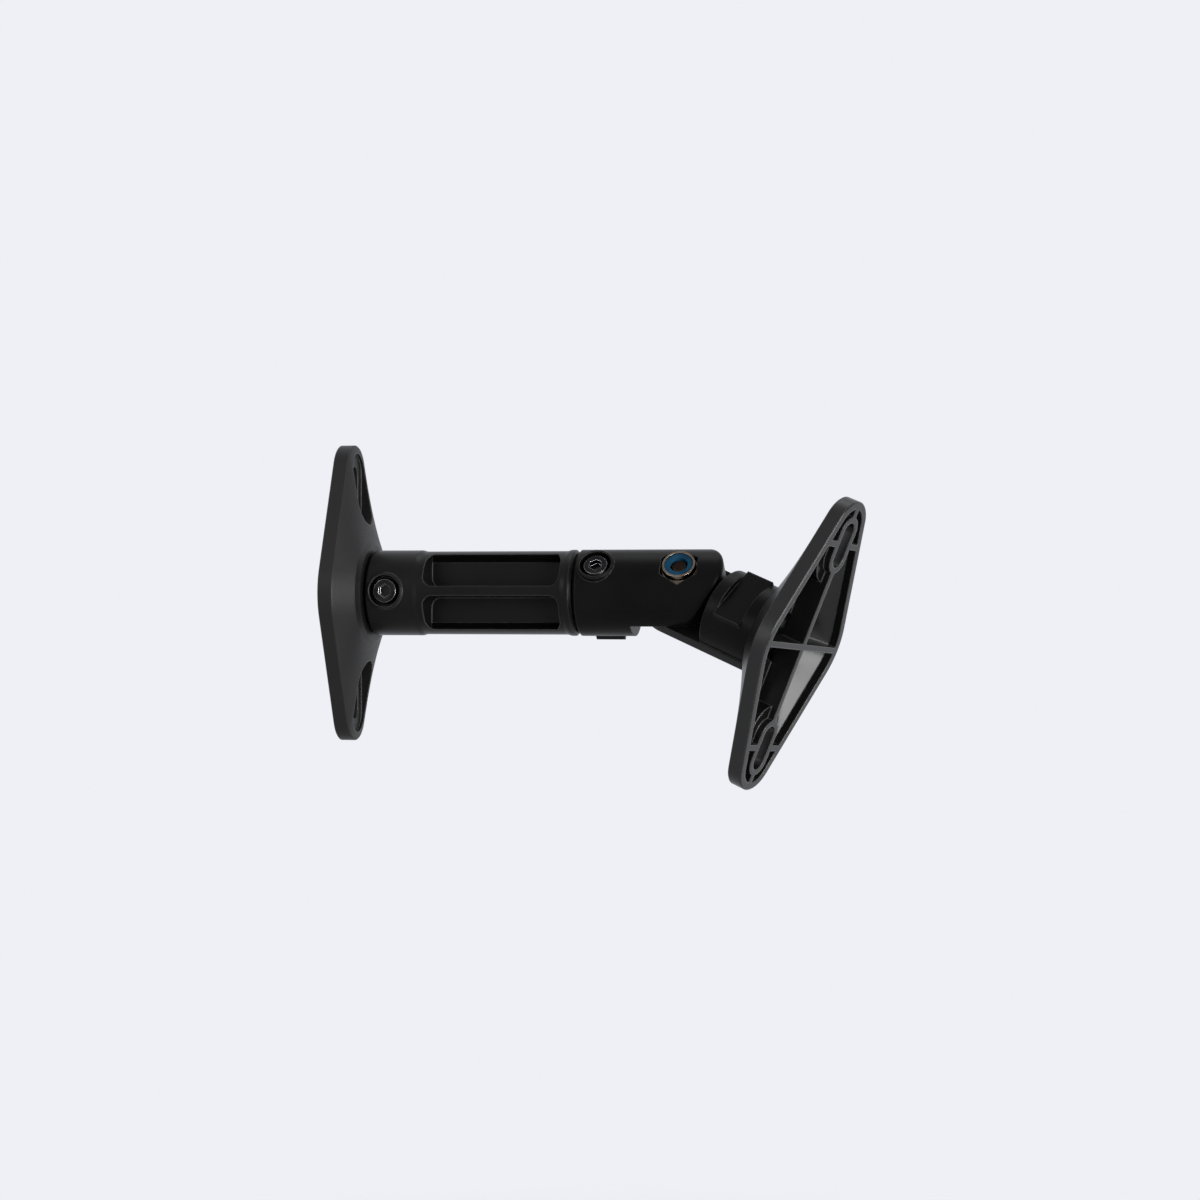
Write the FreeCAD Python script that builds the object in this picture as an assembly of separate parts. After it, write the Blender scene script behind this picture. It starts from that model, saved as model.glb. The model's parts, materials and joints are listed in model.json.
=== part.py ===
"""Wall mount bracket for a small loudspeaker: two diamond plates, a round arm and a lapped tilting joint.

Millimetres. The origin is the middle of the wall plate's back face, X runs out of the wall, Z is up.
"""
import math
import os

import FreeCAD
import Part

# Pose at rest, degrees
ARM_ROLL = 2.8
SWIVEL_ROLL = 40.0
TILT = 29.0
PLATE_SPIN = 39.8

# Arm and the round pieces in line with it
ARM_R = 12.25
ARM_START = 10.33
ARM_LENGTH = 60.3
END_GAP = 0.35
END_CHAMFER = 0.8
WAIST_DEPTH = 0.35
WAIST_SHOULDER = 1.2
WAIST_START = 14.4
WAIST_END_LEDGE = 1.9

# Pockets in the arm's sides
POCKET_START = 17.2
POCKET_END_WALL = 3.7
POCKET_CORNER_R = 2.8
POCKET_RIM = 1.35
POCKET_SLOPE = 2.3
MID_RIB = 2.8
WEB = 2.6

# Post and socket, the same at all three round joints
SOCKET_WALL = 5.35
POST_LENGTH = 13.6
POST_CHAMFER = 0.6
SOCKET_CLEARANCE = 0.1
SOCKET_END_GAP = 0.5
GROOVE_DEPTH = 0.8
GROOVE_WIDTH = 5.4

# Set screw, its boss, its insert and the flat pad opposite
SCREW_FROM_MOUTH = 6.3
SCREW_SHANK_R = 2.0
SCREW_HEAD_R = 3.6
SCREW_HEAD_HEIGHT = 2.7
SCREW_HEAD_EDGE = 0.35
SCREW_KEY = 3.4
SCREW_KEY_DEPTH = 1.7
SCREW_TIP_GAP = 0.25
HEAD_SINK = 0.45
HEAD_GAP = 0.3
BOSS_R = 5.3
BOSS_HEIGHT = 0.45
BOSS_EDGE = 0.3
RECESS_R = 4.5
INSERT_R = 3.1
INSERT_COVER = 0.3
PAD_FROM_MOUTH = 8.4
PAD_LENGTH = 8.4
PAD_SIDE_INSET = 3.65
PAD_SINK = 1.85

# Lapped joint
PIVOT_FROM_MOUTH = 29.95
LAP_FACE = -0.1
LAP_GAP = 0.3
LAP_END_PROUD = 0.15
LAP_STEP_ROOM = 1.6
LAP_EDGE_R = 1.4
TONGUE_SLAB = 3.2
TONGUE_PROUD = 0.5
COLLAR_END = 30.0

# Pivot bolt and lock nut
BOLT_R = 2.95
BOLT_HOLE_R = 3.15
BOLT_HEAD_AF = 10.0
BOLT_HEAD_HEIGHT = 4.0
BOLT_END_GAP = 0.3
SEAT_DEPTH = 3.85
SEAT_R = 7.2
WASHER_R = 6.0
WASHER_THICKNESS = 1.2
WASHER_GAP = 0.1
NUT_AF = 10.0
NUT_PROUD = 0.25
NUT_HEIGHT = 6.0
NUT_HEX_HEIGHT = 4.3
NUT_BEVEL = 30.0
NUT_COLLAR_R = 4.9
NUT_COLLAR_TAPER = 0.3
NUT_BORE_R = 3.05
NUT_POCKET_CLEARANCE = 0.15
RING_R = 4.1
RING_BORE_R = 2.5
RING_HEIGHT = 2.0
RING_SINK = 0.35

# Diamond plate
PLATE_HEIGHT = 85.4
PLATE_WIDTH = 44.9
TIP_R = 8.5
SIDE_R = 17.4
RIM_THICKNESS = 4.45
RIM_EDGE = 0.25
HUB_PROUD = 1.55
FLARE_SPREAD = 2.4
FLARE_DEPTH = 0.83
FLARE_SAG = 0.4
SHELL = 2.0
RIM_WALL = 2.2
RIB = 1.7
RIB_SINK = 0.0
SLOT_CENTRE = 30.0
SLOT_WIDTH = 5.6
SLOT_LENGTH = 13.0
SLOT_RING = 1.7
SLOT_FLOOR_BACK = 2.0
SLOT_FLOOR = 2.0
RECESS_WIDTH = 11.4
RECESS_LENGTH = 20.6
RECESS_WALL = 1.4
HUB_MOUTH_SPREAD = 3.4
HUB_MOUTH_TAPER = 3.85
POST_WALL = 2.8
POST_END_WALL = 3.0

# Derived
HUB_END = ARM_START - END_GAP
ARM_END = ARM_START + ARM_LENGTH
SWIVEL_START = ARM_END + END_GAP
PIVOT_X = SWIVEL_START + PIVOT_FROM_MOUTH
PLATE_FACE = COLLAR_END + END_GAP + HUB_END
WAIST_END = ARM_LENGTH - WAIST_END_LEDGE
POCKET_END = ARM_LENGTH - POCKET_END_WALL
POCKET_TOP = ARM_R - POCKET_RIM
POCKET_ROOT = POCKET_TOP - POCKET_SLOPE
SOCKET_R = ARM_R - SOCKET_WALL
SOCKET_DEPTH = POST_LENGTH - END_GAP + SOCKET_END_GAP
POST_R = SOCKET_R - SOCKET_CLEARANCE
SCREW_FACE = ARM_R + BOSS_HEIGHT
HEAD_TOP = SCREW_FACE - HEAD_SINK
HEAD_UNDER = HEAD_TOP - SCREW_HEAD_HEIGHT
RECESS_FLOOR = HEAD_UNDER - HEAD_GAP
SCREW_TIP = POST_R - GROOVE_DEPTH + SCREW_TIP_GAP
PAD_FACE = ARM_R - PAD_SINK
PAD_HALF_WIDTH = ARM_R - PAD_SIDE_INSET
LAP_END_R = ARM_R + LAP_END_PROUD
LAP_STEP = LAP_END_R + LAP_STEP_ROOM
BOLT_SEAT = ARM_R - SEAT_DEPTH
NUT_TOP = ARM_R + NUT_PROUD
NUT_BASE = NUT_TOP - NUT_HEIGHT
RING_TOP = NUT_TOP - RING_SINK
RING_BASE = RING_TOP - RING_HEIGHT
HUB_R = ARM_R + HUB_PROUD
HUB_BORE_R = POST_R - POST_WALL
HUB_MOUTH_R = HUB_BORE_R + HUB_MOUTH_SPREAD
FLARE_R = HUB_R + FLARE_SPREAD
FLARE_START = HUB_END - FLARE_DEPTH

V = FreeCAD.Vector
AXIS_X = V(1, 0, 0)
AXIS_Y = V(0, 1, 0)
AXIS_Z = V(0, 0, 1)
BOLT_AXIS = V(0, -1, 0)

# How far a cut runs past a face or a joined piece runs into its neighbour, and a length past everything
OVERLAP = 0.5
FAR = 200.0


def moved(shape, offset=V(0, 0, 0), axis=AXIS_X, angle=0.0):
    """A copy turned about an axis through the origin, then shifted."""
    result = shape.copy()
    result.Placement = FreeCAD.Placement(offset, FreeCAD.Rotation(axis, angle)).multiply(shape.Placement)
    return result


def turned(profile):
    """A solid of revolution about X from (x, radius) points."""
    points = [V(x, 0, r) for x, r in profile]
    face = Part.Face(Part.makePolygon(points + points[:1]))
    return face.revolve(V(0, 0, 0), AXIS_X, 360)


def rod(start, end, radius):
    """A round rod along X."""
    return Part.makeCylinder(radius, end - start, V(start, 0, 0), AXIS_X)


def bar(x0, x1, y0, y1, z0, z1):
    """A box between two corners."""
    return Part.makeBox(x1 - x0, y1 - y0, z1 - z0, V(x0, y0, z0))


def hexagon(across_flats, start, end):
    """A hexagonal prism along -Y, flats facing along X."""
    corner = across_flats / math.sqrt(3)
    points = []
    for i in range(6):
        turn = math.radians(60 * i + 30)
        points.append(V(corner * math.cos(turn), -start, corner * math.sin(turn)))
    face = Part.Face(Part.makePolygon(points + points[:1]))
    return face.extrude(V(0, start - end, 0))


def pin(start, end, radius):
    """A round pin along -Y, from one distance to another."""
    return Part.makeCylinder(radius, end - start, V(0, -start, 0), BOLT_AXIS)


def stadium(width, length, x0, x1, z):
    """A slot shape along Z, extruded along X."""
    half = (length - width) / 2
    shape = bar(x0, x1, -width / 2, width / 2, z - half, z + half)
    for end in (z - half, z + half):
        shape = shape.fuse(Part.makeCylinder(width / 2, x1 - x0, V(x0, 0, end), AXIS_X))
    return shape.removeSplitter()


def outline_points(inset):
    """Tangent points and arc middles of the rounded diamond, in order round the outline."""
    tip = V(0, 0, PLATE_HEIGHT / 2 - TIP_R)
    side = V(0, PLATE_WIDTH / 2 - SIDE_R, 0)
    centres = ((side, SIDE_R), (tip, TIP_R), (-side, SIDE_R), (-tip, TIP_R))
    span = tip.z * tip.z + side.y * side.y
    lean = math.atan2(tip.z, side.y)
    tangent = math.pi / 2 - lean + math.asin((SIDE_R - TIP_R) / math.sqrt(span))
    arcs = []
    for i, (centre, radius) in enumerate(centres):
        middle = i * math.pi / 2
        half = tangent if i % 2 == 0 else math.pi / 2 - tangent
        ends = []
        for turn in (middle - half, middle, middle + half):
            ends.append(centre + V(0, math.cos(turn), math.sin(turn)) * (radius - inset))
        arcs.append(ends)
    return arcs


def outline_wire(x, inset=0.0):
    """The plate's outline at a distance from the wall, drawn in by an inset."""
    arcs = outline_points(inset)
    lift = V(x, 0, 0)
    edges = []
    for i, (start, middle, end) in enumerate(arcs):
        edges.append(Part.Arc(start + lift, middle + lift, end + lift).toShape())
        following = arcs[(i + 1) % len(arcs)][0]
        edges.append(Part.makeLine(end + lift, following + lift))
    return Part.Wire(edges)


def ring_wire(x, radius):
    """A circle cut into eight arcs that face the eight edges of the outline."""
    arcs = outline_points(0.0)
    turns = []
    for start, _, end in arcs:
        turns.append(math.atan2(start.z, start.y))
        turns.append(math.atan2(end.z, end.y))
    edges = []
    for i, turn in enumerate(turns):
        following = turns[(i + 1) % len(turns)]
        if following < turn:
            following += 2 * math.pi
        points = []
        for t in (turn, (turn + following) / 2, following):
            points.append(V(x, radius * math.cos(t), radius * math.sin(t)))
        edges.append(Part.Arc(*points).toShape())
    return Part.Wire(edges)


def dish(x0, inset, x1, radius):
    """The straight-sided dish between the diamond and a circle."""
    return Part.makeLoft([outline_wire(x0, inset), ring_wire(x1, radius)], True, True)


def rim():
    """The plate's edge, with both of its corners broken."""
    sections = (
        (0, RIM_EDGE), (RIM_EDGE, 0), (RIM_THICKNESS - RIM_EDGE, 0), (RIM_THICKNESS, RIM_EDGE),
    )
    return Part.makeLoft([outline_wire(x, inset) for x, inset in sections], True, True)


def prism(x0, x1, inset):
    """The outline extruded along X."""
    return Part.Face(outline_wire(x0, inset)).extrude(V(x1 - x0, 0, 0))


def flare():
    """The concave turn from the dish to the round of the arm."""
    start = V(FLARE_START, 0, FLARE_R)
    end = V(HUB_END, 0, HUB_R)
    middle = V(FLARE_START + FLARE_SAG * (HUB_END - FLARE_START), 0, (HUB_R + FLARE_R) / 2)
    edges = [
        Part.makeLine(V(FLARE_START, 0, 0), start),
        Part.Arc(start, middle, end).toShape(),
        Part.makeLine(end, V(HUB_END, 0, 0)),
        Part.makeLine(V(HUB_END, 0, 0), V(FLARE_START, 0, 0)),
    ]
    return Part.Face(Part.Wire(edges)).revolve(V(0, 0, 0), AXIS_X, 360)


def post(start, groove_at):
    """The round post with the groove that the set screw bears in."""
    end = start + POST_LENGTH
    low = POST_R - GROOVE_DEPTH
    g0 = groove_at - GROOVE_WIDTH / 2
    g1 = groove_at + GROOVE_WIDTH / 2
    profile = [
        (start - OVERLAP, 0), (start - OVERLAP, POST_R), (g0 - GROOVE_DEPTH, POST_R), (g0, low), (g1, low),
        (g1 + GROOVE_DEPTH, POST_R), (end - POST_CHAMFER, POST_R), (end, POST_R - POST_CHAMFER), (end, 0),
    ]
    return turned(profile)


def plate():
    """The diamond plate, mounting face at X = 0 and post along +X."""
    body = rim().fuse([dish(RIM_THICKNESS, RIM_EDGE, FLARE_START, FLARE_R), flare()])
    body = body.fuse(post(HUB_END, ARM_START + SCREW_FROM_MOUTH))

    hollow = prism(-OVERLAP, RIM_THICKNESS - SHELL, RIM_WALL)
    hollow = hollow.fuse(dish(RIM_THICKNESS - SHELL, RIM_WALL, FLARE_START - SHELL, FLARE_R))
    ribs = bar(RIB_SINK, FAR, -RIB / 2, RIB / 2, -FAR, FAR)
    ribs = ribs.fuse(bar(RIB_SINK, FAR, -FAR, FAR, -RIB / 2, RIB / 2))
    for z in (-SLOT_CENTRE, SLOT_CENTRE):
        ribs = ribs.fuse(bar(RIB_SINK, FAR, -FAR, FAR, z - RIB / 2, z + RIB / 2))
        ribs = ribs.fuse(stadium(SLOT_WIDTH + 2 * SLOT_RING, SLOT_LENGTH + 2 * SLOT_RING, RIB_SINK, FAR, z))
        cup_width = RECESS_WIDTH + 2 * RECESS_WALL
        cup_length = RECESS_LENGTH + 2 * RECESS_WALL
        ribs = ribs.fuse(stadium(cup_width, cup_length, SLOT_FLOOR_BACK, FAR, z))
    body = body.cut(hollow.cut(ribs))

    roof = FLARE_START - SHELL
    bore_start = roof + HUB_MOUTH_TAPER
    bore_end = HUB_END + POST_LENGTH - POST_END_WALL
    bore = [(roof, 0), (roof, HUB_MOUTH_R), (bore_start, HUB_BORE_R), (bore_end, HUB_BORE_R), (bore_end, 0)]
    body = body.cut(turned(bore))
    for z in (-SLOT_CENTRE, SLOT_CENTRE):
        body = body.cut(stadium(SLOT_WIDTH, SLOT_LENGTH, -OVERLAP, FAR, z))
        body = body.cut(stadium(RECESS_WIDTH, RECESS_LENGTH, SLOT_FLOOR_BACK + SLOT_FLOOR, FAR, z))
    return body.removeSplitter()


def boss():
    """The raised ring round a set screw, on the -Y side, at the screw's axis."""
    ring = Part.makeCylinder(BOSS_R, SCREW_FACE, V(0, 0, 0), BOLT_AXIS)
    rim = [e for e in ring.Edges if e.Closed and abs(e.CenterOfMass.y + SCREW_FACE) < 0.01]
    return ring.makeChamfer(BOSS_EDGE, rim)


def pad():
    """The flat pad on the side away from the set screw, at its middle."""
    return bar(-PAD_LENGTH / 2, PAD_LENGTH / 2, 0, PAD_FACE, -PAD_HALF_WIDTH, PAD_HALF_WIDTH)


def above_pad():
    """The room over the flat pad."""
    return bar(-PAD_LENGTH / 2, PAD_LENGTH / 2, PAD_FACE, FAR, -FAR, FAR)


def socketed(body):
    """Adds the boss and the pad and cuts the socket: mouth at X = 0, socket along +X, screw on -Y."""
    at_screw = V(SCREW_FROM_MOUTH, 0, 0)
    at_pad = V(PAD_FROM_MOUTH, 0, 0)
    body = body.cut(moved(above_pad(), at_pad))
    body = body.fuse([moved(boss(), at_screw), moved(pad(), at_pad)])
    body = body.cut(rod(-OVERLAP, SOCKET_DEPTH, SOCKET_R))
    body = body.cut(moved(pin(RECESS_FLOOR, FAR, RECESS_R), at_screw))
    body = body.cut(moved(pin(0, RECESS_FLOOR, INSERT_R), at_screw))
    return body.removeSplitter()


def screw_insert():
    """The threaded insert round the screw's shank."""
    inner = SOCKET_R + INSERT_COVER
    ring = pin(inner, RECESS_FLOOR, INSERT_R).cut(pin(0, FAR, SCREW_SHANK_R))
    return moved(ring, V(SCREW_FROM_MOUTH, 0, 0))


def set_screw():
    """The socket head set screw."""
    head = pin(HEAD_UNDER, HEAD_TOP, SCREW_HEAD_R)
    rim = [e for e in head.Edges if e.Closed and abs(e.CenterOfMass.y + HEAD_TOP) < 0.01]
    head = head.makeChamfer(SCREW_HEAD_EDGE, rim)
    screw = head.fuse(pin(SCREW_TIP, HEAD_UNDER + OVERLAP, SCREW_SHANK_R))
    screw = screw.cut(hexagon(SCREW_KEY, HEAD_TOP - SCREW_KEY_DEPTH, FAR))
    return moved(screw.removeSplitter(), V(SCREW_FROM_MOUTH, 0, 0))


def pocket(side, half):
    """One pocket tool: side is -1 for the front and 1 for the back, half is -1 for the lower one."""
    low = MID_RIB / 2
    rim_y = math.sqrt(ARM_R ** 2 - POCKET_TOP ** 2)
    outline = ((WEB / 2, low), (FAR, low), (FAR, FAR), (rim_y, POCKET_TOP), (WEB / 2, POCKET_ROOT))
    section = [V(POCKET_START, y, z) for y, z in outline]
    length = POCKET_END - POCKET_START
    wedge = Part.Face(Part.makePolygon(section + section[:1])).extrude(V(length, 0, 0))
    block = bar(POCKET_START, POCKET_END, WEB / 2, FAR, low, POCKET_TOP)
    uprights = [e for e in block.Edges if abs(e.Vertexes[0].Y - e.Vertexes[1].Y) > 1]
    block = block.makeFillet(POCKET_CORNER_R, uprights)
    tool = wedge.common(block)
    if half < 0:
        tool = tool.mirror(V(0, 0, 0), AXIS_Z)
    if side < 0:
        tool = tool.mirror(V(0, 0, 0), AXIS_Y)
    return tool


def arm():
    """The arm, mouth of its socket at X = 0."""
    w = ARM_R - WAIST_DEPTH
    profile = [
        (0, 0), (0, ARM_R - END_CHAMFER), (END_CHAMFER, ARM_R), (WAIST_START, ARM_R),
        (WAIST_START + WAIST_SHOULDER, w), (WAIST_END - WAIST_SHOULDER, w), (WAIST_END, ARM_R),
        (ARM_LENGTH - END_CHAMFER, ARM_R), (ARM_LENGTH, ARM_R - END_CHAMFER), (ARM_LENGTH, 0),
    ]
    body = turned(profile)
    for side in (-1, 1):
        for half in (-1, 1):
            body = body.cut(pocket(side, half))
    body = body.fuse(post(ARM_LENGTH, ARM_LENGTH + END_GAP + SCREW_FROM_MOUTH))
    return socketed(body)


def lap_end(radius, half_width, y0, y1):
    """A lap with a round end about the pivot, reaching toward -X, between two Y planes."""
    block = bar(-FAR, 0, y0, y1, -half_width, half_width)
    disc = Part.makeCylinder(radius, y1 - y0, V(0, y0, 0), AXIS_Y)
    return block.fuse(disc)


def with_round_end(body, pivot_x, side):
    """Rounds the outer edge of a lap's end, on the -Y side or the +Y side of the bolt."""
    reach = ARM_R - OVERLAP
    edges = []
    for edge in body.Edges:
        box = edge.BoundBox
        out = max(box.XMax - pivot_x, pivot_x - box.XMin)
        height = max(box.YMax * side, box.YMin * side)
        if edge.Curve.TypeId == "Part::GeomBSplineCurve" and out > reach and height > reach:
            edges.append(edge)
    return body.makeFillet(LAP_EDGE_R, edges)


def swivel_body():
    """The swivel body, mouth of its socket at X = 0, bolt along -Y at the pivot."""
    length = PIVOT_FROM_MOUTH + 2 * ARM_R
    core = turned([(0, 0), (0, ARM_R - END_CHAMFER), (END_CHAMFER, ARM_R), (length, ARM_R), (length, 0)])
    lap = moved(lap_end(LAP_END_R, FAR, -FAR, -LAP_FACE), V(PIVOT_FROM_MOUTH, 0, 0))
    full = bar(-OVERLAP, PIVOT_FROM_MOUTH - LAP_STEP, -FAR, FAR, -FAR, FAR)
    body = with_round_end(core.common(lap.fuse(full)), PIVOT_FROM_MOUTH, -1)
    body = socketed(body)
    at_pivot = V(PIVOT_FROM_MOUTH, 0, 0)
    body = body.cut(moved(pin(-FAR, FAR, BOLT_HOLE_R), at_pivot))
    nut_hole = hexagon(NUT_AF + 2 * NUT_POCKET_CLEARANCE, NUT_BASE, FAR)
    return body.cut(moved(nut_hole, at_pivot)).removeSplitter()


def knuckle():
    """The knuckle, bolt along -Y at the origin, collar along +X."""
    inner = -LAP_FACE + LAP_GAP
    core = rod(-2 * ARM_R, COLLAR_END, ARM_R)
    tongue = lap_end(LAP_END_R, FAR, inner, FAR).mirror(V(0, 0, 0), AXIS_X)
    collar = bar(LAP_STEP, FAR, -FAR, FAR, -FAR, FAR)
    body = with_round_end(core.common(tongue.fuse(collar)), 0.0, 1)
    wide = ARM_R + TONGUE_PROUD
    slab = lap_end(wide, wide, inner, inner + TONGUE_SLAB).mirror(V(0, 0, 0), AXIS_X)
    body = body.fuse(slab.common(bar(-FAR, COLLAR_END, -FAR, FAR, -FAR, FAR)))
    back = moved(body, V(COLLAR_END, 0, 0), AXIS_Z, 180)
    body = moved(socketed(back), V(COLLAR_END, 0, 0), AXIS_Z, 180)
    body = body.cut(pin(-FAR, FAR, BOLT_HOLE_R))
    return body.cut(pin(-FAR, -BOLT_SEAT, SEAT_R)).removeSplitter()


def pivot_bolt():
    """The hex head bolt, head on the knuckle's side."""
    under = -BOLT_SEAT - WASHER_GAP - WASHER_THICKNESS
    head = hexagon(BOLT_HEAD_AF, under - BOLT_HEAD_HEIGHT, under)
    return head.fuse(pin(under - OVERLAP, RING_BASE - BOLT_END_GAP, BOLT_R)).removeSplitter()


def pivot_head_washer():
    """The washer under the bolt's head."""
    outer = -BOLT_SEAT - WASHER_GAP
    disc = pin(outer - WASHER_THICKNESS, outer, WASHER_R)
    return disc.cut(pin(-FAR, FAR, BOLT_HOLE_R))


def pivot_lock_nut():
    """The lock nut: hexagon with bevelled corners, round collar and the seat of the nylon ring."""
    shoulder = NUT_BASE + NUT_HEX_HEIGHT
    outside = NUT_AF / math.sqrt(3) + OVERLAP
    drop = (outside - NUT_AF / 2) * math.tan(math.radians(NUT_BEVEL))
    bevel = Part.makeCone(outside, NUT_AF / 2, drop, V(0, drop - shoulder, 0), BOLT_AXIS)
    nut = hexagon(NUT_AF, NUT_BASE, shoulder).common(bevel.fuse(pin(0, shoulder - drop, outside)))
    collar_start = shoulder - OVERLAP
    taper = NUT_COLLAR_R - NUT_COLLAR_TAPER
    collar = Part.makeCone(NUT_COLLAR_R, taper, NUT_TOP - collar_start, V(0, -collar_start, 0), BOLT_AXIS)
    nut = nut.fuse(collar).cut(pin(0, FAR, NUT_BORE_R))
    return nut.cut(pin(RING_BASE, FAR, RING_R)).removeSplitter()


def lock_nut_ring():
    """The nylon ring in the lock nut's collar."""
    return pin(RING_BASE, RING_TOP, RING_R).cut(pin(0, FAR, RING_BORE_R))


def in_arm(shape):
    """From the arm's own frame to the bracket's."""
    return moved(moved(shape, V(ARM_START, 0, 0)), V(0, 0, 0), AXIS_X, -ARM_ROLL)


def in_swivel(shape):
    """From the swivel body's own frame to the bracket's."""
    return moved(shape, V(SWIVEL_START, 0, 0), AXIS_X, -SWIVEL_ROLL)


def in_knuckle(shape):
    """From the knuckle's own frame to the bracket's."""
    tilt = FreeCAD.Rotation(AXIS_Y, TILT)
    roll = FreeCAD.Rotation(AXIS_X, -SWIVEL_ROLL)
    result = shape.copy()
    result.Placement = FreeCAD.Placement(V(PIVOT_X, 0, 0), roll.multiply(tilt)).multiply(shape.Placement)
    return result


def at_collar(shape):
    """A socket's fittings, turned to face the knuckle's collar end."""
    return in_knuckle(moved(shape, V(COLLAR_END, 0, 0), AXIS_Z, 180))


def at_pivot(shape):
    """A piece on the pivot bolt, in the swivel body's frame."""
    return in_swivel(moved(shape, V(PIVOT_FROM_MOUTH, 0, 0)))


def speaker_plate():
    """The second plate, turned to face outward on the collar."""
    result = plate()
    flip = FreeCAD.Rotation(AXIS_Z, 180)
    spin = FreeCAD.Rotation(AXIS_X, PLATE_SPIN)
    result.Placement = FreeCAD.Placement(V(PLATE_FACE, 0, 0), spin.multiply(flip))
    return in_knuckle(result)


def build():
    """Every piece under its node's name."""
    pieces = {
        "wall_plate": plate(),
        "arm": in_arm(arm()),
        "arm_set_screw": in_arm(set_screw()),
        "arm_screw_insert": in_arm(screw_insert()),
        "swivel_body": in_swivel(swivel_body()),
        "swivel_set_screw": in_swivel(set_screw()),
        "swivel_screw_insert": in_swivel(screw_insert()),
        "pivot_bolt": at_pivot(pivot_bolt()),
        "pivot_head_washer": at_pivot(pivot_head_washer()),
        "pivot_lock_nut": at_pivot(pivot_lock_nut()),
        "lock_nut_ring": at_pivot(lock_nut_ring()),
        "knuckle": in_knuckle(knuckle()),
        "knuckle_set_screw": at_collar(set_screw()),
        "knuckle_screw_insert": at_collar(screw_insert()),
        "speaker_plate": speaker_plate(),
    }
    os.makedirs("parts", exist_ok=True)
    for name, shape in pieces.items():
        if len(shape.Solids) != 1 or not shape.isValid():
            raise ValueError(f"{name}: {len(shape.Solids)} solids, valid {shape.isValid()}")
        shape.Solids[0].exportStep(f"parts/{name}.step")


build()
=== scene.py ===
import json
import math

import bmesh
import bpy
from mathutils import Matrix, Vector


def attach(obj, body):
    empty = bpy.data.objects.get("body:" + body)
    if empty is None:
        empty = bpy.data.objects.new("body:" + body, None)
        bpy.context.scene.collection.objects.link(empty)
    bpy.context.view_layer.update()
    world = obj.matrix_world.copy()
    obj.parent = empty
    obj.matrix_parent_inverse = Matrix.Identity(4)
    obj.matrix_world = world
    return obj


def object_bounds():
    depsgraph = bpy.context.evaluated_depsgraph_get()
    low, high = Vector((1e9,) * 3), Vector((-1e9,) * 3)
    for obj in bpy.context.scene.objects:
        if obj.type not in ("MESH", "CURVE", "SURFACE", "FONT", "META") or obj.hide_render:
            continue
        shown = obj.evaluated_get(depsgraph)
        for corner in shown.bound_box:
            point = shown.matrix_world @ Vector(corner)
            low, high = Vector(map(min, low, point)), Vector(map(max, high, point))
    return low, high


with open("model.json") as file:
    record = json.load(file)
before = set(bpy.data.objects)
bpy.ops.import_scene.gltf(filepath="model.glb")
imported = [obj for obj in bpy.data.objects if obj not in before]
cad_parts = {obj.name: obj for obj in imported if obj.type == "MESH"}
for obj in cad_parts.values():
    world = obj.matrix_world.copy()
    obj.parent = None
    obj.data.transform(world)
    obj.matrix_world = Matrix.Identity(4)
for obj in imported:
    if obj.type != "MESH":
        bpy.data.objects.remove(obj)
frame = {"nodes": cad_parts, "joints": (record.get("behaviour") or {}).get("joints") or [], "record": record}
cad_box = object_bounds()

# Camera, fitted to the photograph: place in metres, angles in degrees, lens and sensor in millimetres.
# At CAMERA_LEVEL degrees about X it looks level.
CAMERA_PLACE = (0.2190, -0.6707, 0.0)
CAMERA_LEVEL = 90.0
CAMERA_YAW = 11.986
CAMERA_PITCH = -0.17
LENS = 72.5
SENSOR = 36.0

# Floor: how far it lies below the object, and half its width, in metres.
FLOOR_DROP = 0.26
FLOOR_HALF = 6.0
FLOOR_COLOUR = (0.86, 0.87, 0.89, 1.0)

# White backdrop, and the rays that see it. For these rays the floor turns to the same white:
# the share of white in its middle, and the distances in metres where more begins and where all is white.
BACKDROP_COLOUR = (0.86, 0.87, 0.915, 1.0)
BACKDROP_RAYS = ("Is Camera Ray", "Is Glossy Ray", "Is Transmission Ray")
FLOOR_WHITE_SHARE = 0.60
FLOOR_WHITE_BEGINS = 0.20
FLOOR_WHITE_WHOLE = 0.60

# Light of the room, and of the wall behind the object. The wall begins and is whole
# where the Y of a direction reaches these values.
ROOM_LIGHT = 0.03
WALL_LIGHT = 1.0
WALL_BEGINS = 0.45
WALL_WHOLE = 0.95
LIGHT_COLOUR = (1.0, 1.0, 1.0, 1.0)

# Each lamp: place, width and height in metres, power in watts.
LAMPS = {
    "right_softbox": ((0.92, -0.60, 0.02), 1.05, 0.45, 15.0),
    "left_softbox": ((-0.45, -0.55, 0.28), 0.30, 0.30, 0.9),
    "top_softbox": ((0.05, 0.25, 0.85), 0.40, 0.40, 0.9),
}

# Black plastic: colours of its cloudy patches, and of the painted highlight along its edges.
PLASTIC_DARK = (0.0024, 0.0023, 0.0022)
PLASTIC_PALE = (0.0050, 0.0048, 0.0046)
PLASTIC_PAINTED_HIGHLIGHT = (0.085, 0.084, 0.083)

# Each black moulding: its gloss, then the lowest and highest roughness of its grained faces.
ROUND_FINISH = {
    "arm": (0.12, 0.28, 0.38),
    "swivel_body": (0.06, 0.28, 0.38),
    "knuckle": (0.07, 0.28, 0.38),
}
PLATE_FINISH = {
    "wall_plate": (0.28, 0.42, 0.54),
    "speaker_plate": (0.34, 0.30, 0.40),
}

# Polished side of a plate: its range of roughness, and the cosines to that side
# where the polish begins and where it is whole.
POLISHED_ROUGH = (0.14, 0.22)
POLISHED_FACING = (0.05, 0.15)
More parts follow.
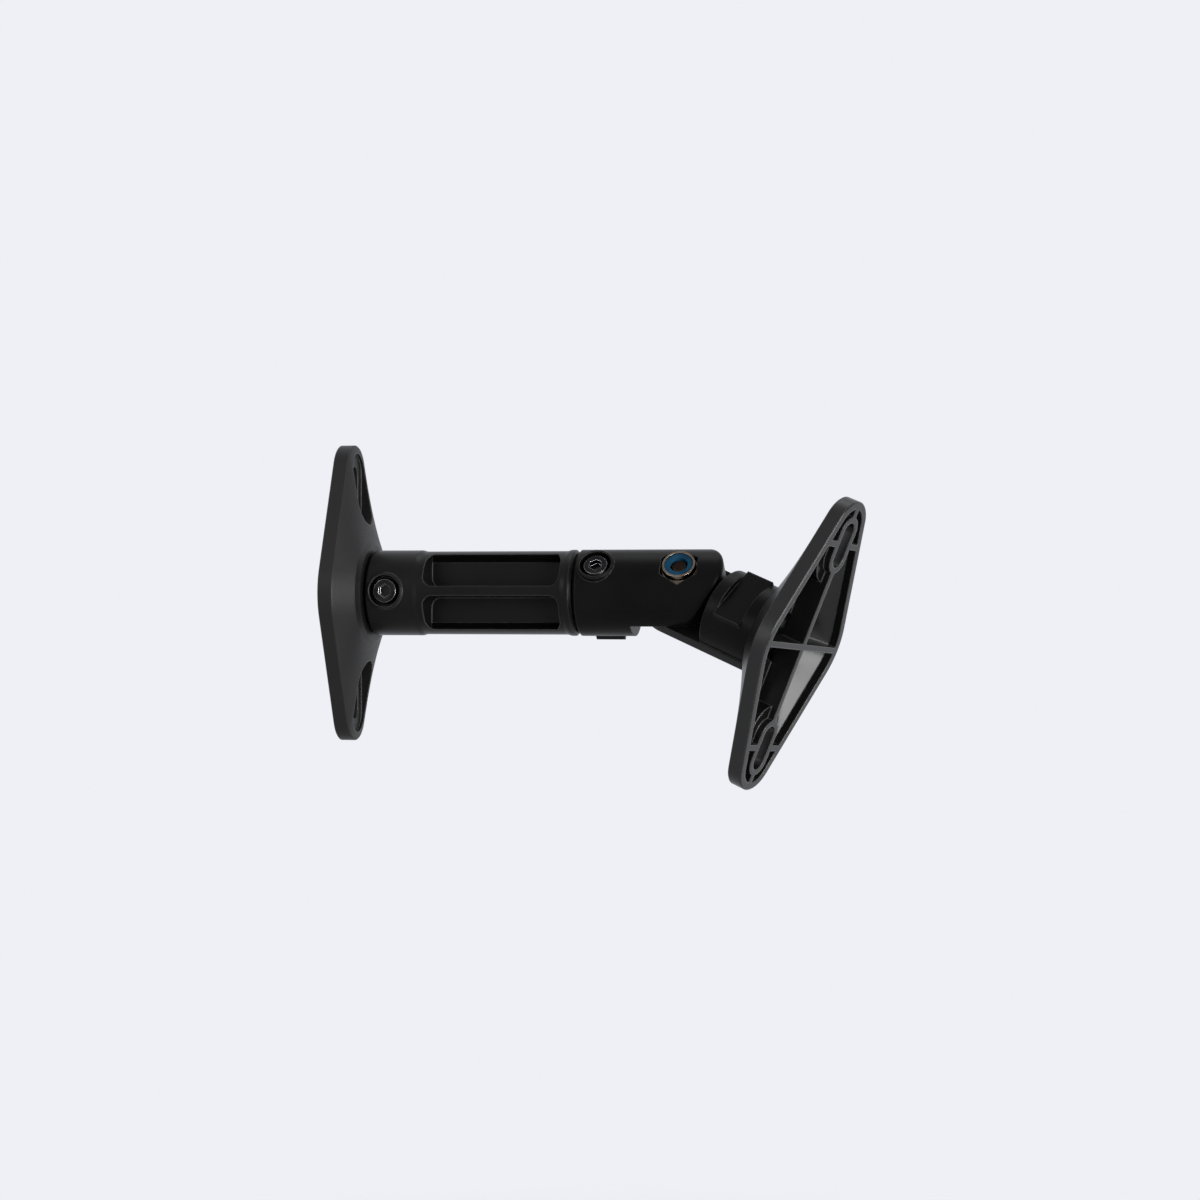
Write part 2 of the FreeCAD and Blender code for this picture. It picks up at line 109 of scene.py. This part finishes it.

# Each metal: colours of its dark and pale patches and of its edges, painted bright as wear and as a painted
# glint, and its range of roughness.
METALS = {
    "black_oxide_steel": {
        "dark": (0.010, 0.010, 0.011),
        "pale": (0.025, 0.024, 0.023),
        # These bright edges are mostly a painted glint on the set screws.
        "wear_and_glint": (0.60, 0.60, 0.60),
        "rough": (0.16, 0.28),
    },
    "zinc_plate": {
        "dark": (0.07, 0.050, 0.035),
        "pale": (0.16, 0.13, 0.10),
        "wear_and_glint": (0.42, 0.34, 0.25),
        "rough": (0.10, 0.20),
    },
    "turned_brass": {
        "dark": (0.48, 0.33, 0.12),
        "pale": (0.66, 0.47, 0.20),
        "wear_and_glint": (0.75, 0.58, 0.30),
        "rough": (0.24, 0.40),
    },
    "bolt_steel": {
        "dark": (0.009, 0.005, 0.003),
        "pale": (0.018, 0.011, 0.007),
        "wear_and_glint": (0.20, 0.16, 0.12),
        "rough": (0.26, 0.42),
    },
}

# CAD nodes of each metal. The bolt's steel is left for its threaded end, which is made here.
METAL_NODES = {
    "black_oxide_steel": ("arm_set_screw", "swivel_set_screw", "knuckle_set_screw"),
    "zinc_plate": ("pivot_lock_nut", "pivot_head_washer", "pivot_bolt"),
    "turned_brass": ("arm_screw_insert", "swivel_screw_insert", "knuckle_screw_insert"),
}

# Blue nylon of the locking ring: colours of its patches, gloss and range of roughness.
NYLON_DARK = (0.006, 0.042, 0.085)
NYLON_PALE = (0.015, 0.075, 0.140)
NYLON_GLOSS = 0.04
NYLON_ROUGH = (0.30, 0.45)

# Grain and cloudy patches, as lumps per metre. The nylon has those of the metals.
PLASTIC_GRAIN = 2600.0
PLASTIC_PATCHES = 55.0
METAL_GRAIN = 1800.0
METAL_PATCHES = 320.0

# Detail of the noise in patches, in grain and in the marks on metal, and the part of its range that is used.
PATCH_DETAIL = 3.0
GRAIN_DETAIL = 2.0
MARK_DETAIL = 4.0
NOISE_RANGE = (0.3, 0.7)
WHOLE_RANGE = (0.0, 1.0)

# Bump of the grain: its strength, and its depth in metres.
PLASTIC_BUMP = (0.22, 0.00008)
METAL_BUMP = (0.10, 0.00005)
NYLON_BUMP = (0.12, 0.00006)

# Rounding of moulded edges and of turned edges, in metres, and the samples that find it.
MOULDED_EDGE = 0.0006
TURNED_EDGE = 0.0002
EDGE_SAMPLES = 6

# Edges painted paler: a painted highlight on the mouldings, and on the metals wear together with a painted
# glint. The cosines between the rounded normal and the face's own where this is whole and where it ends.
MOULDED_HIGHLIGHT_SPREAD = (0.72, 0.96)
TURNED_WEAR_AND_GLINT_SPREAD = (0.80, 0.995)

# Sockets of Blender's Mix node, by number because its names repeat.
MIX_FACTOR = 0
MIX_NUMBERS_IN = (2, 3)
MIX_NUMBER_OUT = 0
MIX_COLOURS_IN = (6, 7)
MIX_COLOUR_OUT = 2

# Thread on the bolt's end, in metres, and how finely it is drawn.
THREAD_R = 0.00245
THREAD_DEPTH = 0.0003
THREAD_PITCH = 0.001
THREAD_CHAMFER = 0.0005
THREAD_SINK = 0.0006
THREAD_ROWS = 24
THREAD_STEPS = 64


class Shader:
    """A material with one Principled shader, and short calls for the nodes that feed it."""

    def __init__(self, name):
        self.material = bpy.data.materials.new(name)
        self.material.use_nodes = True
        self.nodes = self.material.node_tree.nodes
        self.links = self.material.node_tree.links
        self.surface = self.nodes["Principled BSDF"]
        self.coordinates = self.nodes.new("ShaderNodeTexCoord").outputs

    def set(self, socket, value):
        self.surface.inputs[socket].default_value = value

    def feed(self, socket, value):
        self.links.new(value, self.surface.inputs[socket])

    def noise(self, scale, detail):
        node = self.nodes.new("ShaderNodeTexNoise")
        node.inputs["Scale"].default_value = scale
        node.inputs["Detail"].default_value = detail
        self.links.new(self.coordinates["Object"], node.inputs["Vector"])
        return node.outputs["Fac"]

    def ranged(self, value, low, high, source=NOISE_RANGE):
        """A value that runs through the source range, made to run from low to high."""
        node = self.nodes.new("ShaderNodeMapRange")
        node.inputs["From Min"].default_value = source[0]
        node.inputs["From Max"].default_value = source[1]
        node.inputs["To Min"].default_value = low
        node.inputs["To Max"].default_value = high
        self.links.new(value, node.inputs["Value"])
        return node.outputs["Result"]

    def patches(self, scale):
        """Cloudy patches over the piece, from 0 to 1."""
        return self.ranged(self.noise(scale, PATCH_DETAIL), 0.0, 1.0)

    def blend(self, factor, first, second):
        """A mix of two colours, each of them plain or made by another node."""
        node = self.nodes.new("ShaderNodeMix")
        node.data_type = "RGBA"
        self.links.new(factor, node.inputs[MIX_FACTOR])
        for number, colour in zip(MIX_COLOURS_IN, (first, second)):
            if isinstance(colour, tuple):
                node.inputs[number].default_value = (*colour, 1.0)
            else:
                self.links.new(colour, node.inputs[number])
        return node.outputs[MIX_COLOUR_OUT]

    def between(self, factor, first, second):
        """A mix of two numbers, both made by other nodes."""
        node = self.nodes.new("ShaderNodeMix")
        self.links.new(factor, node.inputs[MIX_FACTOR])
        for number, value in zip(MIX_NUMBERS_IN, (first, second)):
            self.links.new(value, node.inputs[number])
        return node.outputs[MIX_NUMBER_OUT]

    def facing(self, direction):
        """1 on faces of the piece that look along a direction of its own frame, and 0 on the others."""
        dot = self.nodes.new("ShaderNodeVectorMath")
        dot.operation = "DOT_PRODUCT"
        dot.inputs[1].default_value = direction
        self.links.new(self.coordinates["Normal"], dot.inputs[0])
        return self.ranged(dot.outputs["Value"], 0.0, 1.0, POLISHED_FACING)

    def rounded(self, radius):
        """The normal of a face, turned near its edges as if they were rounded."""
        node = self.nodes.new("ShaderNodeBevel")
        node.samples = EDGE_SAMPLES
        node.inputs["Radius"].default_value = radius
        return node.outputs["Normal"]

    def edges(self, rounded, edge_spread):
        """How far the rounded normal leans from the face's own: 0 on faces and 1 along edges."""
        dot = self.nodes.new("ShaderNodeVectorMath")
        dot.operation = "DOT_PRODUCT"
        geometry = self.nodes.new("ShaderNodeNewGeometry")
        self.links.new(rounded, dot.inputs[0])
        self.links.new(geometry.outputs["Normal"], dot.inputs[1])
        return self.ranged(dot.outputs["Value"], 1.0, 0.0, edge_spread)

    def bump(self, height, normal, strength, depth):
        node = self.nodes.new("ShaderNodeBump")
        node.inputs["Strength"].default_value = strength
        node.inputs["Distance"].default_value = depth
        self.links.new(height, node.inputs["Height"])
        self.links.new(normal, node.inputs["Normal"])
        return node.outputs["Normal"]


def moulded_plastic(name, gloss, rough_low, rough_high, polished_side=None):
    """Satin black plastic: fine grain, faint cloudy patches, and a painted highlight that makes its edges,
    hollow ones too, a little paler.
    Faces that look toward polished_side came off the smooth half of the mould, and are glossier."""
    shader = Shader(name)
    rounded = shader.rounded(MOULDED_EDGE)
    patches = shader.patches(PLASTIC_PATCHES)
    grain = shader.noise(PLASTIC_GRAIN, GRAIN_DETAIL)
    # Painted highlight: edges, hollow ones as well, are painted paler in place of the light that rounded
    # edges catch.
    painted_highlight = shader.edges(rounded, MOULDED_HIGHLIGHT_SPREAD)
    body = shader.blend(patches, PLASTIC_DARK, PLASTIC_PALE)
    shader.feed("Base Color", shader.blend(painted_highlight, body, PLASTIC_PAINTED_HIGHLIGHT))
    rough = shader.ranged(grain, rough_low, rough_high)
    if polished_side:
        smooth = shader.ranged(patches, *POLISHED_ROUGH, WHOLE_RANGE)
        rough = shader.between(shader.facing(polished_side), rough, smooth)
    shader.feed("Roughness", rough)
    shader.feed("Normal", shader.bump(grain, rounded, *PLASTIC_BUMP))
    shader.set("Specular IOR Level", gloss)
    return shader.material


def metal(name):
    """Turned or plated metal: uneven plating, edges painted bright as wear and as a painted glint, and fine
    marks in its polish.
    """
    look = METALS[name]
    shader = Shader(name)
    rounded = shader.rounded(TURNED_EDGE)
    patches = shader.patches(METAL_PATCHES)
    marks = shader.noise(METAL_GRAIN, MARK_DETAIL)
    # Edges painted brighter: partly wear and partly a painted glint.
    wear_and_glint = shader.edges(rounded, TURNED_WEAR_AND_GLINT_SPREAD)
    body = shader.blend(patches, look["dark"], look["pale"])
    shader.feed("Base Color", shader.blend(wear_and_glint, body, look["wear_and_glint"]))
    shader.feed("Roughness", shader.ranged(marks, *look["rough"]))
    shader.feed("Normal", shader.bump(marks, rounded, *METAL_BUMP))
    shader.set("Metallic", 1.0)
    return shader.material


def nylon(name):
    """Blue nylon, with hardly any shine."""
    shader = Shader(name)
    rounded = shader.rounded(TURNED_EDGE)
    patches = shader.patches(METAL_PATCHES)
    grain = shader.noise(METAL_GRAIN, GRAIN_DETAIL)
    shader.feed("Base Color", shader.blend(patches, NYLON_DARK, NYLON_PALE))
    shader.feed("Roughness", shader.ranged(grain, *NYLON_ROUGH))
    shader.feed("Normal", shader.bump(grain, rounded, *NYLON_BUMP))
    shader.set("Specular IOR Level", NYLON_GLOSS)
    return shader.material


def dress(material, *nodes):
    for node in nodes:
        for slot in frame["nodes"][node].material_slots:
            slot.material = material


def dress_all():
    for node, finish in ROUND_FINISH.items():
        dress(moulded_plastic(node + "_plastic", *finish), node)
    mount_axes = {mount["name"]: mount["axis"] for mount in frame["record"]["mounts"]}
    for node, finish in PLATE_FINISH.items():
        outward = mount_axes[node.replace("plate", "face")]
        dress(moulded_plastic(node + "_plastic", *finish, outward), node)
    for name, nodes in METAL_NODES.items():
        dress(metal(name), *nodes)
    dress(nylon("blue_nylon"), "lock_nut_ring")


def thread_mesh(length):
    """A helical thread along Z that fades into a chamfer at its end."""
    mesh = bmesh.new()
    rows = []
    for level in range(THREAD_ROWS + 1):
        height = length * level / THREAD_ROWS
        chamfer = max(0.0, height - length + THREAD_CHAMFER)
        row = []
        for step in range(THREAD_STEPS):
            turn = step / THREAD_STEPS
            phase = (height / THREAD_PITCH - turn) % 1.0
            radius = THREAD_R - THREAD_DEPTH * abs(2.0 * phase - 1.0) - chamfer
            angle = 2.0 * math.pi * turn
            row.append(mesh.verts.new((radius * math.cos(angle), radius * math.sin(angle), height)))
        rows.append(row)
    for lower, upper in zip(rows, rows[1:]):
        for step in range(THREAD_STEPS):
            after = (step + 1) % THREAD_STEPS
            mesh.faces.new((lower[step], lower[after], upper[after], upper[step]))
    mesh.faces.new(rows[0][::-1])
    mesh.faces.new(rows[-1])
    data = bpy.data.meshes.new("bolt_thread_end")
    mesh.to_mesh(data)
    mesh.free()
    return data


def bolt_end():
    """The bolt's threaded end, from the end of its CAD solid to a little below the top of the nut's ring."""
    tilt = next(joint for joint in frame["joints"] if joint["name"] == "tilt")
    pivot = Vector(tilt["pos_m"])
    along = -Vector(tilt["axis"])

    def reach(node):
        return max((vertex.co - pivot).dot(along) for vertex in frame["nodes"][node].data.vertices)

    start = reach("pivot_bolt")
    data = thread_mesh(reach("lock_nut_ring") - THREAD_SINK - start)
    data.materials.append(metal("bolt_steel"))
    piece = bpy.data.objects.new("bolt_thread_end", data)
    piece.rotation_euler = along.to_track_quat("Z", "Y").to_euler()
    piece.location = pivot + along * start
    bpy.context.scene.collection.objects.link(piece)
    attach(piece, "swivel")


def seen_white(nodes, links):
    """1 for the rays that see the white backdrop, and 0 for those that bring light to the object."""
    path = nodes.new("ShaderNodeLightPath")
    seen = path.outputs[BACKDROP_RAYS[0]]
    for ray in BACKDROP_RAYS[1:]:
        either = nodes.new("ShaderNodeMath")
        either.operation = "MAXIMUM"
        links.new(seen, either.inputs[0])
        links.new(path.outputs[ray], either.inputs[1])
        seen = either.outputs["Value"]
    return seen


def floor_material():
    """A pale floor that keeps the object's shadow near it, and turns to the backdrop's white further off."""
    material = bpy.data.materials.new("pale_floor")
    material.use_nodes = True
    nodes = material.node_tree.nodes
    links = material.node_tree.links
    nodes.clear()
    output = nodes.new("ShaderNodeOutputMaterial")
    pale = nodes.new("ShaderNodeBsdfDiffuse")
    pale.inputs["Color"].default_value = FLOOR_COLOUR
    white = nodes.new("ShaderNodeEmission")
    white.inputs["Color"].default_value = BACKDROP_COLOUR
    away = nodes.new("ShaderNodeVectorMath")
    away.operation = "LENGTH"
    links.new(nodes.new("ShaderNodeTexCoord").outputs["Object"], away.inputs[0])
    far = nodes.new("ShaderNodeMapRange")
    far.inputs["From Min"].default_value = FLOOR_WHITE_BEGINS
    far.inputs["From Max"].default_value = FLOOR_WHITE_WHOLE
    far.inputs["To Min"].default_value = FLOOR_WHITE_SHARE
    links.new(away.outputs["Value"], far.inputs["Value"])
    share = nodes.new("ShaderNodeMath")
    share.operation = "MULTIPLY"
    links.new(seen_white(nodes, links), share.inputs[0])
    links.new(far.outputs["Result"], share.inputs[1])
    mix = nodes.new("ShaderNodeMixShader")
    links.new(share.outputs["Value"], mix.inputs[0])
    links.new(pale.outputs["BSDF"], mix.inputs[1])
    links.new(white.outputs["Emission"], mix.inputs[2])
    links.new(mix.outputs["Shader"], output.inputs["Surface"])
    return material


def add_floor(centre, height):
    signs = ((-1, -1), (1, -1), (1, 1), (-1, 1))
    corners = [(x * FLOOR_HALF, y * FLOOR_HALF, 0.0) for x, y in signs]
    mesh = bpy.data.meshes.new("floor")
    mesh.from_pydata(corners, [], [range(len(corners))])
    mesh.materials.append(floor_material())
    floor = bpy.data.objects.new("floor", mesh)
    floor.location = (centre.x, centre.y, height)
    bpy.context.scene.collection.objects.link(floor)


def add_world():
    """White to the camera and in reflections. Other light comes from a bright wall behind the object
    and a dim room in front of it."""
    world = bpy.data.worlds.new("studio")
    world.use_nodes = True
    nodes = world.node_tree.nodes
    links = world.node_tree.links
    light = nodes["Background"]
    light.inputs["Color"].default_value = LIGHT_COLOUR
    backdrop = nodes.new("ShaderNodeBackground")
    backdrop.inputs["Color"].default_value = BACKDROP_COLOUR
    direction = nodes.new("ShaderNodeSeparateXYZ")
    links.new(nodes.new("ShaderNodeTexCoord").outputs["Generated"], direction.inputs["Vector"])
    behind = nodes.new("ShaderNodeMapRange")
    behind.inputs["From Min"].default_value = WALL_BEGINS
    behind.inputs["From Max"].default_value = WALL_WHOLE
    behind.inputs["To Min"].default_value = ROOM_LIGHT
    behind.inputs["To Max"].default_value = WALL_LIGHT
    links.new(direction.outputs["Y"], behind.inputs["Value"])
    links.new(behind.outputs["Result"], light.inputs["Strength"])
    mix = nodes.new("ShaderNodeMixShader")
    links.new(seen_white(nodes, links), mix.inputs[0])
    links.new(light.outputs["Background"], mix.inputs[1])
    links.new(backdrop.outputs["Background"], mix.inputs[2])
    links.new(mix.outputs["Shader"], nodes["World Output"].inputs["Surface"])
    bpy.context.scene.world = world


def add_lamps(centre):
    for name, (place, width, height, power) in LAMPS.items():
        lamp = bpy.data.lights.new(name, "AREA")
        lamp.shape = "RECTANGLE"
        lamp.size = width
        lamp.size_y = height
        lamp.energy = power
        holder = bpy.data.objects.new(name, lamp)
        holder.location = place
        holder.visible_camera = False
        holder.rotation_euler = (centre - Vector(place)).to_track_quat("-Z", "Y").to_euler()
        bpy.context.scene.collection.objects.link(holder)


def add_camera():
    lens = bpy.data.cameras.new("photo_camera")
    lens.lens = LENS
    lens.sensor_width = SENSOR
    camera = bpy.data.objects.new("photo_camera", lens)
    camera.location = CAMERA_PLACE
    camera.rotation_euler = (math.radians(CAMERA_LEVEL + CAMERA_PITCH), 0.0, math.radians(CAMERA_YAW))
    bpy.context.scene.collection.objects.link(camera)
    bpy.context.scene.camera = camera


low, high = (Vector(corner) for corner in cad_box)
middle = (low + high) / 2
dress_all()
bolt_end()
add_floor(middle, low.z - FLOOR_DROP)
add_world()
add_lamps(middle)
add_camera()
bpy.context.scene.view_settings.view_transform = "Standard"
